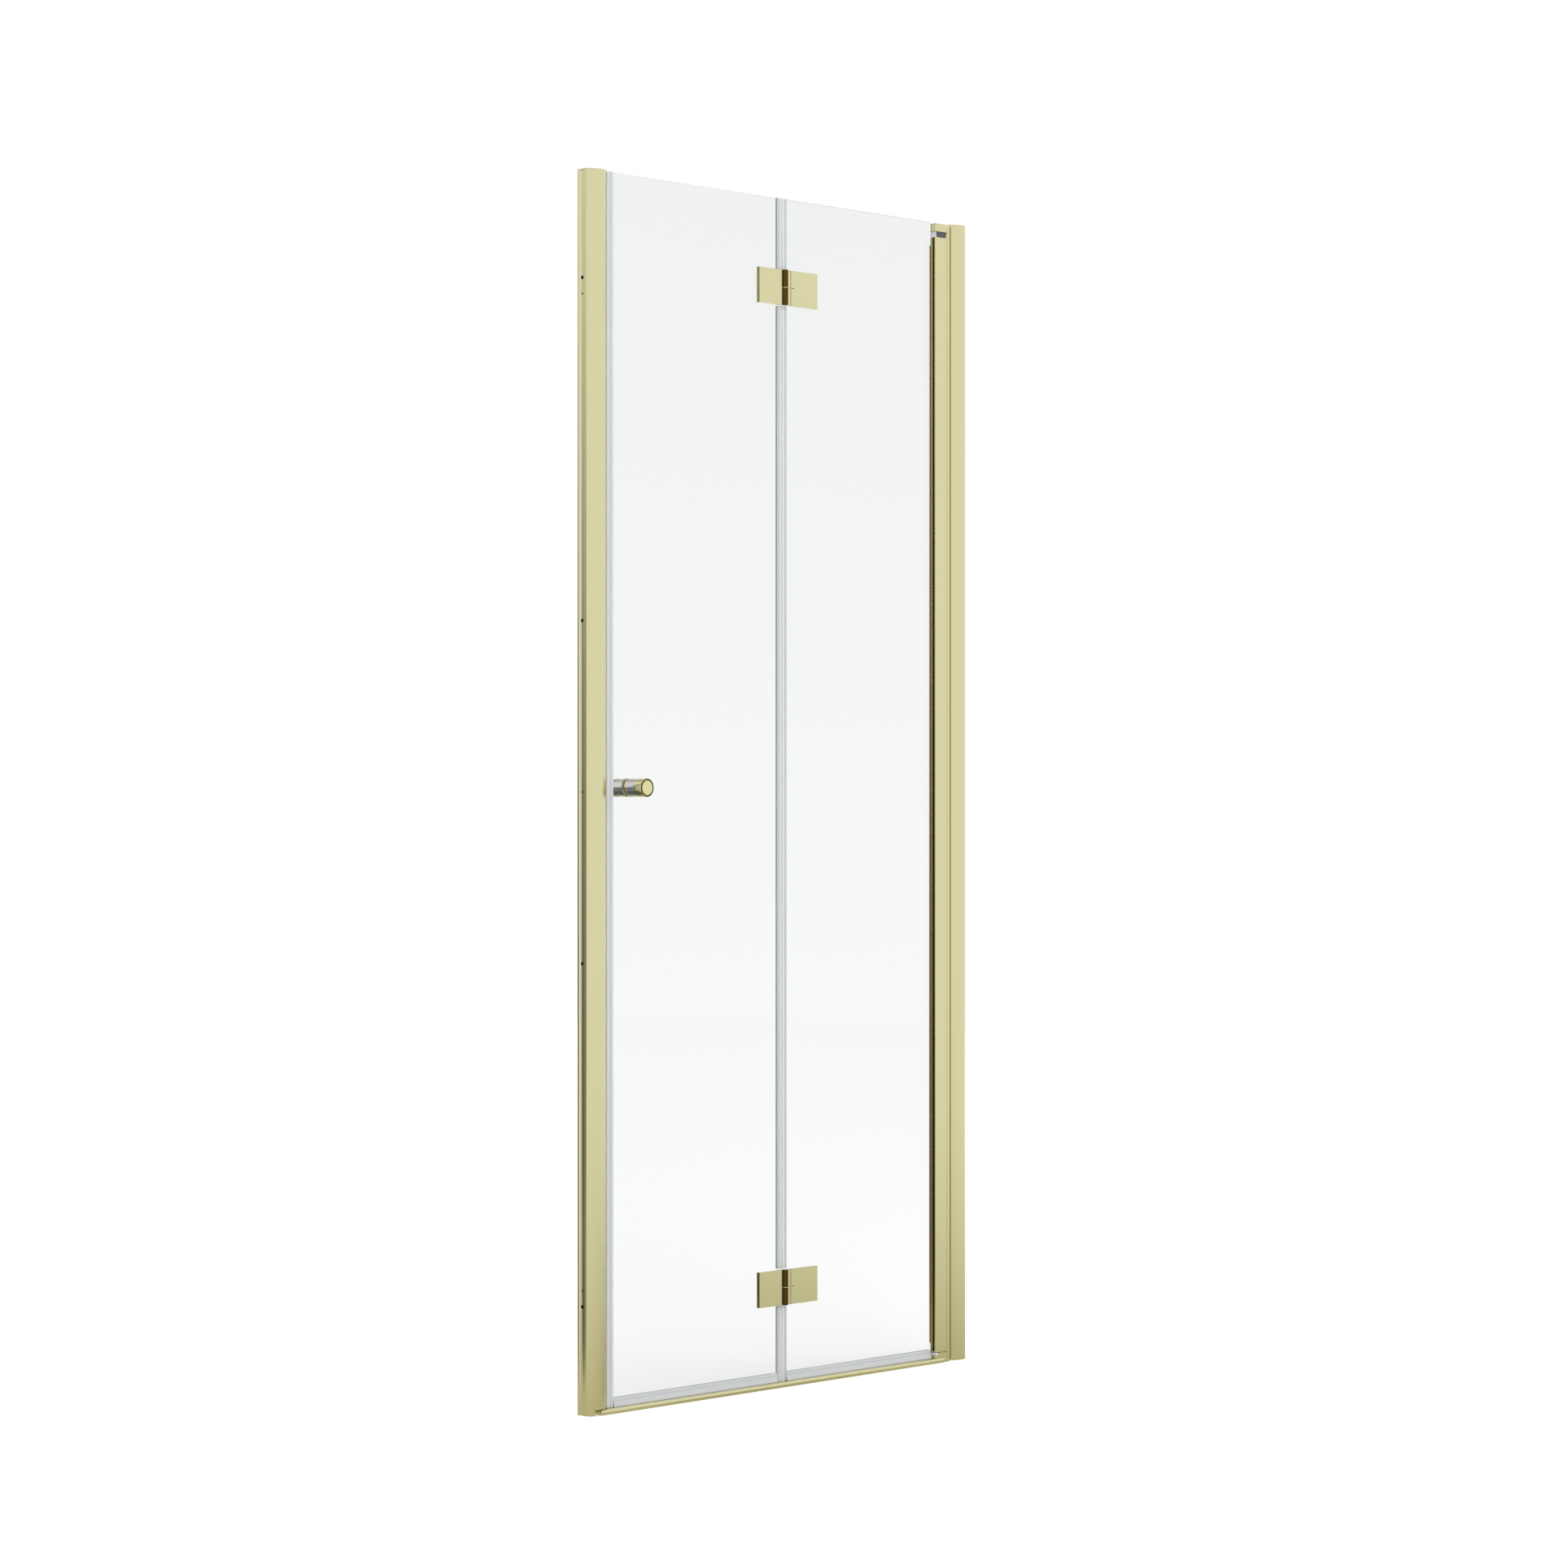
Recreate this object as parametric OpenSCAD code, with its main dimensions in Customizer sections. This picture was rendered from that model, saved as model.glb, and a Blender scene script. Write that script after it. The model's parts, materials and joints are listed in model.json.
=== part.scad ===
// Bifold shower door: a glass panel on a wall post, and a second one hinged to its free edge.
// X runs along the opening, the outside of the door faces -Y, and Z is up.
// The origin is in the middle of the opening, on the glass mid-plane, at the shower tray.

/* [Opening] */
// Width from wall to wall
opening_w = 910; // [800:10:1000]
// Height of the door
door_h = 1950; // [1850:10:2050]

/* [Glass] */
// Thickness of the toughened glass
glass_t = 6; // [5:0.5:6]
// Height of the glass's lower edge above the tray
glass_bottom = 16; // [15:0.5:20]
// Gap between the two panes at the fold
fold_gap = 8; // [7.6:0.1:9]
// How far the fold lies from the middle of the opening, towards the strike wall
fold_offset = 7; // [0:0.5:20]

/* [Wall channels] */
// Depth of a channel, measured away from its wall
channel_w = 39.5; // [38:0.5:42]
// How far the front lip thickens inwards at the mouth
mouth_bead = 1.75; // [1:0.25:2.5]
// Length of that thicker lip
mouth_bead_l = 3; // [2:0.5:5]
// Thickness of the channel's flanges
channel_wall = 2; // [1.6:0.1:2.2]
// Thickness of the web that lies on the wall
web_t = 3; // [2.8:0.1:4]
// How far the channel's back flange stands behind the glass mid-plane
channel_back = 16; // [15:0.5:18]
// How far the crown of the bowed front stands before the glass mid-plane
bow_front = 15.5; // [15:0.1:16.5]
// Radius of the bowed front
bow_r = 28; // [27:0.5:30]
// Distance of the bow's crown from the wall
bow_crown = 20.5; // [20:0.5:22]
// Radius of the corner between web and bow
corner_r = 8.5; // [6:0.5:9]
// Depth of the sealant groove in the web
groove_depth = 1.4; // [0.6:0.1:1.6]
// Width of the sealant groove
groove_w = 13; // [11:0.5:15]
// How far the groove and its wall holes lie behind the glass mid-plane
groove_y = 6.5; // [5:0.5:7]
// Thickness of the caps that close the channels at the top
channel_cap_t = 1.5; // [1:0.25:3]

/* [Wall fixings] */
// Diameter of the wall screw holes
wall_hole_d = 6; // [4:0.5:7]
// Number of wall screw holes in each channel
wall_hole_count = 4; // [3:1:6]
// Distance of the end wall holes from the ends of the channel
wall_hole_end = 170; // [100:10:300]
// Diameter of the pilot holes in the web
pilot_hole_d = 3.2; // [2:0.2:4]
// Distance of the end fixing screws and pilot holes from the ends of the channel
fixing_end = 195; // [130:5:320]
// Diameter of a fixing screw
fixing_d = 4.2; // [3:0.1:5]
// Head diameter of a fixing screw
fixing_head_d = 8; // [7:0.5:10]
// Distance of the fixing screws from the wall
fixing_from_wall = 27; // [22:1:32]

/* [Inner profiles] */
// Wall thickness of the inner profiles
inner_wall = 1.8; // [1.4:0.1:2.2]
// Clearance between an inner profile and its channel
slide_clear = 0.4; // [0.3:0.05:0.6]
// Distance from the wall to the inner profiles, which sets how far they can adjust
inner_start = 13; // [9:1:15]
// How far the strike profile stands out of its channel
strike_nose = 4; // [2:0.5:6]

/* [Magnetic seals] */
// Width of the magnetic seal on the strike profile
strike_seal_w = 7.6; // [7:0.2:10]
// Width of the magnet pocket on the leading pane
leading_pocket_w = 3.4; // [3:0.2:5]
// Depth of both magnetic seals, front to back
magnet_seal_d = 11; // [9:0.5:12]
// Wall of the magnet pockets
pocket_wall = 0.9; // [0.7:0.1:1.1]
// Gap between the two magnetic seals when the door is shut
closing_gap = 0.8; // [0.6:0.1:2]
// Length of the legs that grip the leading pane
magnet_grip = 3; // [2.5:0.5:8]

/* [Glass seals] */
// Wall thickness of the clip-on seals
seal_t = 1.2; // [0.8:0.1:1.3]
// Length of the front legs of the fold seals
fold_grip = 7.5; // [6:0.5:12]
// Length of the back legs of the fold seals
fold_grip_back = 4; // [3:0.5:8]
// Height of the legs of the bottom seals
bottom_grip = 6.5; // [5:0.5:14]
// Gap between the wipers and the threshold
wiper_gap = 0.3; // [0.2:0.1:1]

/* [Pivot post] */
// Distance of the pivot axis from its wall
pivot_from_wall = 66.5; // [62:0.5:72]
// How far the pivot axis lies before the glass mid-plane
pivot_front = 5.5; // [5:0.25:6]
// Reach of the post's front leg, from the axis towards the glass
post_reach = 19.5; // [19:0.5:24]
// Radius of the post's rounded heel
heel_r = 12.5; // [12:0.25:13]
// Distance of the post's front face before the axis
post_front = 8.5; // [8.2:0.1:9]
// Distance of the post's back face behind the axis
post_back = 11.5; // [11.2:0.1:12]
// Thickness of the lip before the groove in the post's front leg
leg_lip = 3; // [2:0.5:4]
// Width of the groove in the post's front leg
leg_groove_w = 5; // [3:0.5:5.5]
// Depth of the groove in the post's front leg
leg_groove_d = 6; // [3:0.5:8]
// How far the post's back leg stops short of the front one
back_leg_step = 3.5; // [0:0.5:7]
// Bore of the chamber that holds the bushes
chamber_r = 7; // [6.6:0.1:7.2]
// Clearance between the heel and its seat
heel_clear = 0.5; // [0.3:0.1:0.8]
// Wall left between the glass slot and the pivot bore
slot_web = 1.5; // [1:0.25:2.5]
// Thickness of the glazing gaskets
gasket_t = 1; // [0.8:0.1:1.2]
// Height of the post's lower end above the tray
post_bottom = 20; // [18:0.5:24]
// Reach of the hinge profile's front lip beyond the pivot axis
hinge_lip = 16; // [14:0.5:20]
// Distance of the post's upper end below the top of the door
post_top_gap = 26.5; // [24.5:1:32]
// Radius of the pivot pins
pivot_pin_r = 4; // [3:0.25:4.5]
// Clearance between a pin and its bush
pin_clear = 0.05; // [0.02:0.01:0.1]
// Rise of the door over a quarter turn
rise = 6; // [4:0.5:7]

/* [Pivot blocks] */
// Thickness of the upper pivot block
top_block_h = 13.5; // [11.5:0.5:16]
// Distance of the upper block's top below the top of the door
top_block_drop = 3; // [1.5:0.5:5]
// Length of the lower pivot block along the opening
bottom_block_l = 39; // [34:1:60]
// Radius of the lower block's rounded nose
nose_r = 6; // [3:0.5:8]
// Gap between the lower block's boss and the post's foot
boss_gap = 1; // [0.6:0.1:1.6]
// Length of the nylon pad beside the boss
wear_pad_l = 5.5; // [4:0.5:7]
// Height of the nylon pad
wear_pad_h = 4; // [2:0.5:5]
// Length of the blocks' spigots in the hinge profile
spigot_l = 24; // [18:1:40]
// Clearance of the spigots and of the sliding shoe
spigot_clear = 0.3; // [0.2:0.05:0.5]

/* [Threshold] */
// Height of the threshold
threshold_h = 8; // [6:0.5:8]
// Width of the threshold, front to back
threshold_w = 28; // [24:1:34]
// How far the threshold stands before the glass mid-plane
threshold_front = 17; // [16:0.5:20]
// Radius of the threshold's upper edges
threshold_r = 4; // [2:0.5:5]
// Distance of the threshold's end from the strike wall
threshold_start = 24; // [22:1:30]
// Distance of the strike channel's notch for the threshold from the wall
notch_start = 10; // [8:0.5:18]
// Clearance of the notch above the threshold
notch_clear = 1.5; // [0.4:0.1:3]

/* [Fold hinges] */
// Height of a hinge
hinge_h = 58; // [50:1:70]
// Distance of a hinge's middle from the end of the glass
hinge_end = 146.5; // [110:0.5:250]
// Thickness of the leaves
leaf_t = 6; // [5:0.5:8]
// Thickness of the pads between leaves and glass
pad_t = 0.5; // [0.3:0.1:1]
// Reach of the leading leaf from the fold axis
leading_leaf = 61.5; // [52:0.5:80]
// Reach of the main leaf from the fold axis
main_leaf = 78.5; // [70:0.5:90]
// Radius of the knuckles
knuckle_r = 5; // [4.5:0.1:5.2]
// Radius of a hinge pin
hinge_pin_r = 2.5; // [2:0.1:3]
// Thickness of the washer between the knuckles
hinge_washer_t = 0.8; // [0.5:0.1:1.2]
// Distance of the leaf screws from the middle of the hinge
leaf_screw_z = 14; // [11:1:18]

/* [Knob] */
// Diameter of the knob
knob_d = 29.5; // [24:0.5:34]
// How far each half of the knob stands off the glass
knob_l = 38; // [28:1:45]
// Length of the gilt end of each half
knob_end_l = 16.5; // [10:0.5:20]
// Distance of the knob from the leading pane's free edge
knob_inset = 42; // [32:0.5:60]
// Radius of the stud through the glass
knob_stud_r = 4; // [3:0.5:5]

/* [Hidden] */
$fn = 72;
brushed_gold = [0.85, 0.82, 0.65];
polished_gold = [0.80, 0.74, 0.50];
clear_pvc = [0.82, 0.84, 0.85];
glass_tint = [0.85, 0.93, 0.90, 0.35];
steel_grey = [0.55, 0.56, 0.57];
nylon_white = [0.90, 0.90, 0.92];
satin_silver = [0.78, 0.79, 0.80];
magnet_brown = [0.25, 0.22, 0.20];
over = 1;                                   // how far a cutter runs past what it cuts
touch = 0.1;                                // clearance of pieces that are pushed or clipped together

// Wall channels, in the section's own frame: distance from the wall, then Y
bow_centre = [bow_crown, bow_r - bow_front];
corner_centre = [corner_r,
    bow_centre[1] - sqrt(pow(bow_r - corner_r, 2) - pow(bow_crown - corner_r, 2))];
mouth_front = sqrt(pow(bow_r - channel_wall, 2) - pow(channel_w - bow_crown, 2))
    - bow_centre[1] - mouth_bead;
groove_r = (pow(groove_w / 2, 2) + pow(groove_depth, 2)) / (2 * groove_depth);
channel_h = door_h - channel_cap_t;
fixing_count = 3;
fixing_head_h = 2.4;

// Inner profiles
inner_front = mouth_front - slide_clear;
inner_back = channel_back - channel_wall - slide_clear;
strike_nose_s = channel_w + strike_nose;
threshold_clear = 0.4;
inner_bottom = threshold_h + threshold_clear;

// Panes along X
strike_wall_x = -opening_w / 2;
hinge_wall_x = opening_w / 2;
seal_head_l = 1.6;                          // length of the seal's head in the strike profile
seal_root_y = 2;                            // how far the seal's root lies behind the glass mid-plane
seal_head_w = 2 * (inner_front - inner_wall - touch + seal_root_y);
seal_head_lip = 1.3;
seal_slot_w = seal_head_w - 2 * seal_head_lip;
leading_seal_x = strike_wall_x + strike_nose_s + strike_seal_w + closing_gap;
leading_x0 = leading_seal_x + leading_pocket_w + touch * 6;
leading_x1 = -fold_offset - fold_gap / 2;
main_x0 = -fold_offset + fold_gap / 2;
pivot_x = hinge_wall_x - pivot_from_wall;
pivot_y = -pivot_front;
post_gap = 1;                               // between the glass above the post and the upper block
main_x1 = pivot_x - post_reach - post_gap;
slot_x = -chamber_r - slot_web;             // bottom of the post's slot, from the axis
tongue_end = 0.5;                           // gap between the glass and the bottom of the slot
glass_front = -glass_t / 2;
glass_back = glass_t / 2;
slot_y0 = glass_front - gasket_t - pivot_y;
slot_y1 = glass_back + gasket_t - pivot_y;
tongue_z = 14;                              // glass tongue inside the ends of the post
post_top = door_h - post_top_gap;
post_corner_r = 1.5;

// Pivot blocks and the lift
seat_r = heel_r + heel_clear;
sweep_r = post_reach + post_gap - 0.4;      // the glass sweeps past everything inside this radius
top_block_z1 = door_h - top_block_drop;
top_block_z0 = top_block_z1 - top_block_h;
block_wall = 2;
block_roof = top_block_h - rise - 3;
shoe_overlap = 2;                           // how far the shoe stands in its block at rest
nose_l = 3.5;
shoe_split = -post_reach + nose_l;           // where the nylon nose meets the shoe, from the axis
profile_drop = 6;
profile_top = top_block_z1 - profile_drop;
box_x1 = pivot_from_wall - inner_start;
foot_t = 1.8;
boss_top = post_bottom - foot_t - boss_gap;
bush_l = 30;
cam_wall_clear = 0.3;
cam_slope = atan(rise / (sqrt(2) * (chamber_r - cam_wall_clear)));
cam_mid = post_bottom + 5;
cam_gap = 0.65;
bottom_pin_top = cam_mid + bush_l;
top_pin_l = 34;

// Fold hinges
fold_x = 2.5 - fold_offset;                  // the pins stand towards the main pane
fold_y = glass_front - pad_t - leaf_t;
hinge_zs = [glass_bottom + hinge_end, door_h - hinge_end];
leaf_clear = 0.5;
leading_leaf_end = knuckle_r + leaf_clear;   // inner end of the leading leaf, from the fold axis
main_leaf_end = 7.5;
leaf_edge_r = 2.5;
seal_break = 1.5;                           // gap between a hinge and the seals above and below it
leading_screw_x = -40;
main_screw_x = 45;
glass_hole_r = 5;
csk_r = 7.8;
screw_clear = 0.3;
leaf_screw_r = 2.5;
leaf_screw_l = 4;

// Knob
knob_x = leading_x0 + knob_inset;
knob_z = (glass_bottom + door_h) / 2 - 1;
knob_washer_t = 1;
knob_collar_l = 3.5;
knob_body_l = knob_l - knob_end_l - knob_collar_l - knob_washer_t;
knob_hole_r = knob_stud_r + 2;

// ---- placing ----

module at_strike_wall() {
    translate([strike_wall_x, 0, 0]) children();
}

module at_hinge_wall() {
    translate([hinge_wall_x, 0, 0]) mirror([1, 0, 0]) children();
}

module at_pivot() {
    translate([pivot_x, pivot_y, 0]) children();
}

module at_fold() {
    translate([fold_x, fold_y, 0]) children();
}

// Something along Y: its foot at y = 0 and its far end towards +Y
module along_y() {
    rotate([-90, 0, 0]) children();
}

// Height of one of count holes, spread evenly between the end distances
function spread_z(i, count, end) = end + i * (door_h - 2 * end) / (count - 1);

// Square-cornered tool that leaves a round corner of radius r at the origin, in the quadrant of +x, +y
module round_corner_cut(r) {
    difference() {
        translate([-over, -over]) square([r + over, r + over]);
        translate([r, r]) circle(r);
    }
}

// ---- wall channels ----

// Outline of a channel: flat on the wall, bowed at the front
module bowed_outline() {
    away = (corner_centre - bow_centre) / norm(corner_centre - bow_centre);
    far = 3 * corner_r;
    difference() {
        intersection() {
            translate([0, -bow_front]) square([channel_w, bow_front + channel_back]);
            translate(bow_centre) circle(bow_r, $fn = 180);
        }
        difference() {
            polygon([corner_centre, corner_centre + [-far, 0], corner_centre + [-far, -far],
                corner_centre + far * away]);
            translate(corner_centre) circle(corner_r);
        }
    }
}

module channel_section() {
    difference() {
        bowed_outline();
        difference() {
            intersection() {
                translate([web_t, -bow_front])
                    square([channel_w, bow_front + channel_back - channel_wall]);
                translate(bow_centre) circle(bow_r - channel_wall, $fn = 180);
            }
            translate([channel_w - mouth_bead_l, -bow_front])
                square([mouth_bead_l + over, bow_front - mouth_front]);
        }
        translate([groove_depth - groove_r, groove_y]) circle(groove_r, $fn = 120);
    }
}

module wall_channel() {
    difference() {
        linear_extrude(channel_h) channel_section();
        for (i = [0 : wall_hole_count - 1])
            translate([-over, groove_y, spread_z(i, wall_hole_count, wall_hole_end)])
                rotate([0, 90, 0]) cylinder(h = web_t + 2 * over, d = wall_hole_d);
        for (i = [0 : fixing_count - 1])
            translate([0, 0, spread_z(i, fixing_count, fixing_end)]) {
                translate([-over, groove_y, 0])
                    rotate([0, 90, 0]) cylinder(h = web_t + 2 * over, d = pilot_hole_d);
                translate([fixing_from_wall, channel_back - channel_wall - over, 0])
                    along_y() cylinder(h = channel_wall + 2 * over, d = fixing_d + 2 * touch);
            }
    }
}

module wall_channel_strike() {
    color(brushed_gold) difference() {
        at_strike_wall() wall_channel();
        translate([strike_wall_x + notch_start, -threshold_front - over, -over])
            cube([channel_w, threshold_front + over, threshold_h + over + notch_clear]);
    }
}

module wall_channel_hinge() {
    color(brushed_gold) at_hinge_wall() wall_channel();
}

module channel_cap() {
    color(brushed_gold) translate([0, 0, channel_h]) linear_extrude(channel_cap_t) bowed_outline();
}

module channel_cap_strike() {
    at_strike_wall() channel_cap();
}

module channel_cap_hinge() {
    at_hinge_wall() channel_cap();
}

// One pan-head screw through the channel's back flange into the inner profile
module fixing_screw() {
    screw_l = channel_wall + slide_clear + inner_wall + 4;
    color(steel_grey) translate([fixing_from_wall, channel_back, 0]) {
        along_y() cylinder(h = fixing_head_h, d1 = fixing_head_d, d2 = fixing_head_d - 2);
        translate([0, -screw_l, 0]) along_y() cylinder(h = screw_l, d = fixing_d);
    }
}

module fixing_screws() {
    for (i = [0 : fixing_count - 1])
        translate([0, 0, spread_z(i, fixing_count, fixing_end)]) fixing_screw();
}

// Holes for the fixing screws in an inner profile, at the wall's own frame
module fixing_holes() {
    for (i = [0 : fixing_count - 1])
        translate([fixing_from_wall, inner_back - inner_wall - over,
            spread_z(i, fixing_count, fixing_end)])
            along_y() cylinder(h = inner_wall + 2 * over, d = fixing_d + 2 * touch);
}

module strike_fixing_screws() {
    at_strike_wall() fixing_screws();
}

module hinge_fixing_screws() {
    at_hinge_wall() fixing_screws();
}

// ---- strike side ----

module strike_profile() {
    h = channel_h - inner_bottom - touch;
    color(brushed_gold) at_strike_wall() difference() {
        translate([0, 0, inner_bottom]) linear_extrude(h) difference() {
            translate([inner_start, -inner_front])
                square([strike_nose_s - inner_start, inner_front + inner_back]);
            translate([inner_start + inner_wall, -inner_front + inner_wall])
                square([strike_nose_s - inner_start - 2 * inner_wall,
                    inner_front + inner_back - 2 * inner_wall]);
            translate([strike_nose_s - inner_wall - over, seal_root_y - seal_slot_w / 2])
                square([inner_wall + 2 * over, seal_slot_w]);
        }
        fixing_holes();
    }
}

// Hollow pocket of width w, which starts at x = 0
module magnet_pocket(w) {
    difference() {
        translate([0, -magnet_seal_d / 2]) square([w, magnet_seal_d]);
        translate([pocket_wall, -magnet_seal_d / 2 + pocket_wall])
            square([w - 2 * pocket_wall, magnet_seal_d - 2 * pocket_wall]);
    }
}

module magnet_core(w) {
    side = pocket_wall + touch;
    translate([side, -magnet_seal_d / 2 + side]) square([w - 2 * side, magnet_seal_d - 2 * side]);
}

module strike_magnet_seal() {
    neck = seal_slot_w - 2 * touch;
    color(clear_pvc) at_strike_wall() translate([strike_nose_s, 0, inner_bottom]) {
        linear_extrude(door_h - inner_bottom) magnet_pocket(strike_seal_w);
        linear_extrude(channel_h - inner_bottom - touch) {
            translate([-inner_wall - touch, seal_root_y - neck / 2])
                square([inner_wall + touch + pocket_wall, neck]);
            translate([-inner_wall - touch - seal_head_l, seal_root_y - seal_head_w / 2])
                square([seal_head_l, seal_head_w]);
        }
    }
}

module strike_magnet_bar() {
    color(magnet_brown) at_strike_wall() translate([strike_nose_s, 0, inner_bottom + touch])
        linear_extrude(door_h - inner_bottom - 2 * touch) magnet_core(strike_seal_w);
}

// ---- hinge side, fixed ----

// Section of the profile that carries the pivots, with the pivot axis at its origin
module hinge_profile_section() {
    y0 = -inner_front - pivot_y;
    y1 = inner_back - pivot_y;
    difference() {
        union() {
            translate([seat_r, y0]) square([box_x1 - seat_r, y1 - y0]);
            translate([0, -post_front]) square([hinge_lip, y0 + post_front + inner_wall]);
        }
        circle(seat_r, $fn = 120);
        translate([-over, 0]) square([seat_r + over, y1]);
        translate([seat_r + inner_wall, y0 + inner_wall])
            square([box_x1 - seat_r - 2 * inner_wall, y1 - y0 - 2 * inner_wall]);
    }
}

module hinge_profile() {
    color(brushed_gold) difference() {
        at_pivot() translate([0, 0, inner_bottom])
            linear_extrude(profile_top - inner_bottom) hinge_profile_section();
        at_hinge_wall() fixing_holes();
        block_screw_places() translate([-over, 0, 0])
            rotate([0, 90, 0]) cylinder(h = inner_wall + 2 * over, r = block_screw_r + touch);
        block_screw_places() rotate([0, 90, 0]) translate([0, 0, -touch])
            cylinder(h = inner_wall, r1 = block_screw_head_r + touch, r2 = block_screw_r + touch);
    }
}

block_screw_r = 2;
block_screw_head_r = 3.8;
block_screw_l = 14;
block_screw_y = 5;

module block_screw_places() {
    for (z = [inner_bottom + spigot_l / 2, profile_top - spigot_l / 2])
        translate([pivot_x + seat_r, block_screw_y, z]) children();
}

// Countersunk screws that hold the pivot blocks' spigots in the hinge profile
module pivot_block_screws() {
    color(steel_grey) block_screw_places() rotate([0, 90, 0]) difference() {
        union() {
            cylinder(h = inner_wall, r1 = block_screw_head_r, r2 = block_screw_r);
            cylinder(h = block_screw_l, r = block_screw_r);
        }
        translate([0, 0, -over]) cylinder(h = over + 1.2, r = 1.2, $fn = 6);
    }
}

// A block's spigot, with its screw hole, between heights z0 and z1
module spigot(z0, z1) {
    gap = inner_wall + spigot_clear;
    y0 = -inner_front - pivot_y + gap;
    y1 = inner_back - pivot_y - gap;
    translate([seat_r + gap, y0, z0]) cube([box_x1 - seat_r - 2 * gap, y1 - y0, z1 - z0]);
}

module block_screw_holes() {
    block_screw_places()
        rotate([0, 90, 0]) cylinder(h = block_screw_l + over, r = block_screw_r + touch);
}

// Outline of the post's end, without its slot: front leg, back leg and round heel
module post_outline() {
    depth = post_front + post_back;
    difference() {
        intersection() {
            translate([-post_reach, -post_front]) square([post_reach + heel_r, depth]);
            union() {
                circle(heel_r, $fn = 120);
                translate([-post_reach, -post_front]) square([post_reach, depth]);
            }
        }
        translate([-post_reach, -post_front]) round_corner_cut(post_corner_r);
    }
}

// The same, drawn in where the glass sweeps past its back corner
module block_outline() {
    intersection() {
        post_outline();
        union() {
            circle(sweep_r, $fn = 120);
            translate([-post_reach, -post_front]) square([post_reach + heel_r, post_front]);
        }
    }
}

module shoe_outline(gap) {
    inset = block_wall + gap;
    intersection() {
        translate([-post_reach + inset, -post_front + inset])
            square([post_reach + heel_r, post_front + post_back - 2 * inset]);
        circle(heel_r - inset, $fn = 120);
    }
    intersection() {
        translate([-post_reach + inset, -post_front + inset])
            square([post_reach - inset, post_front + post_back - 2 * inset]);
        circle(sweep_r - inset, $fn = 120);
    }
}

module top_pivot_block() {
    color(brushed_gold) difference() {
        at_pivot() {
            translate([0, 0, top_block_z0]) linear_extrude(top_block_h) block_outline();
            translate([0, 0, profile_top + touch])
                linear_extrude(top_block_z1 - profile_top - touch) {
                    translate([0, -post_front]) square([hinge_lip, post_front + heel_r]);
                    translate([0, -inner_front - pivot_y])
                        square([box_x1, inner_front + inner_back]);
                }
            spigot(profile_top - spigot_l, profile_top + over);
        }
        at_pivot() translate([0, 0, top_block_z0 - over])
            linear_extrude(top_block_h - block_roof + over) shoe_outline(0);
        block_screw_holes();
    }
}

// Cross-section of the threshold, front edge at y = 0
module threshold_section() {
    difference() {
        square([threshold_w, threshold_h]);
        translate([0, threshold_h]) mirror([0, 1]) round_corner_cut(threshold_r);
        translate([threshold_w, threshold_h]) mirror([1, 0]) mirror([0, 1])
            round_corner_cut(threshold_r);
    }
}

// A length of threshold from x0 to x1
module threshold_length(x0, x1) {
    translate([x0, -threshold_front, 0]) rotate([90, 0, 90])
        linear_extrude(x1 - x0) threshold_section();
}

nose_past_axis = 4;
bottom_block_x1 = pivot_x + nose_past_axis;
bottom_block_x0 = bottom_block_x1 - bottom_block_l;
pad_x = -post_reach + wear_pad_l;           // where the boss begins, from the axis

// The post's outline between x0 and x1 from the axis, from height z0 to z1
module boss_length(x0, x1, z0, z1) {
    translate([0, 0, z0]) linear_extrude(z1 - z0) intersection() {
        block_outline();
        translate([x0, -post_front]) square([x1 - x0, post_front + post_back]);
    }
}

module bottom_pivot_block() {
    color(brushed_gold) difference() {
        union() {
            difference() {
                threshold_length(bottom_block_x0, bottom_block_x1);
                translate([bottom_block_x1, -threshold_front, -over]) mirror([1, 0, 0])
                    linear_extrude(threshold_h + 2 * over) round_corner_cut(nose_r);
            }
            at_pivot() {
                boss_length(-post_reach, heel_r, threshold_h, boss_top - wear_pad_h);
                boss_length(pad_x, heel_r, boss_top - wear_pad_h, boss_top);
                translate([0, -post_front, 0]) cube([hinge_lip, post_front + post_back, threshold_h]);
                translate([0, -inner_front - pivot_y, 0])
                    cube([box_x1, inner_front + inner_back, threshold_h]);
                spigot(threshold_h - over, inner_bottom + spigot_l);
            }
        }
        at_pivot() {
            translate([0, 0, block_wall]) cylinder(h = threshold_h, r = pivot_pin_r + pin_clear);
            translate([0, 0, threshold_h])
                cylinder(h = boss_top, r = chamber_r - cam_wall_clear + touch);
        }
        block_screw_holes();
    }
}

// Nylon pad that guides the post's foot as the door comes down
module post_wear_pad() {
    color(nylon_white) at_pivot()
        boss_length(-post_reach, pad_x - touch, boss_top - wear_pad_h + touch, boss_top);
}

module bottom_pivot_pin() {
    color(steel_grey) at_pivot() translate([0, 0, block_wall])
        cylinder(h = bottom_pin_top - block_wall, r = pivot_pin_r);
}

// Everything above (side 1) or below (side -1) the slanting plane of the lift, at height z
module lift_side(z, side) {
    size = 60;
    translate([0, 0, z]) rotate([0, -cam_slope, 0])
        translate([-size / 2, -size / 2, side > 0 ? 0 : -size]) cube(size);
}

// Fixed lower half of the lift: a ring with a slanting top, in the boss's bore
module lift_cam_base() {
    color(nylon_white) at_pivot() difference() {
        translate([0, 0, threshold_h])
            cylinder(h = cam_mid + chamber_r - threshold_h, r = chamber_r - cam_wall_clear);
        cylinder(h = cam_mid + 2 * chamber_r, r = pivot_pin_r + touch);
        lift_side(cam_mid, 1);
    }
}

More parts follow.
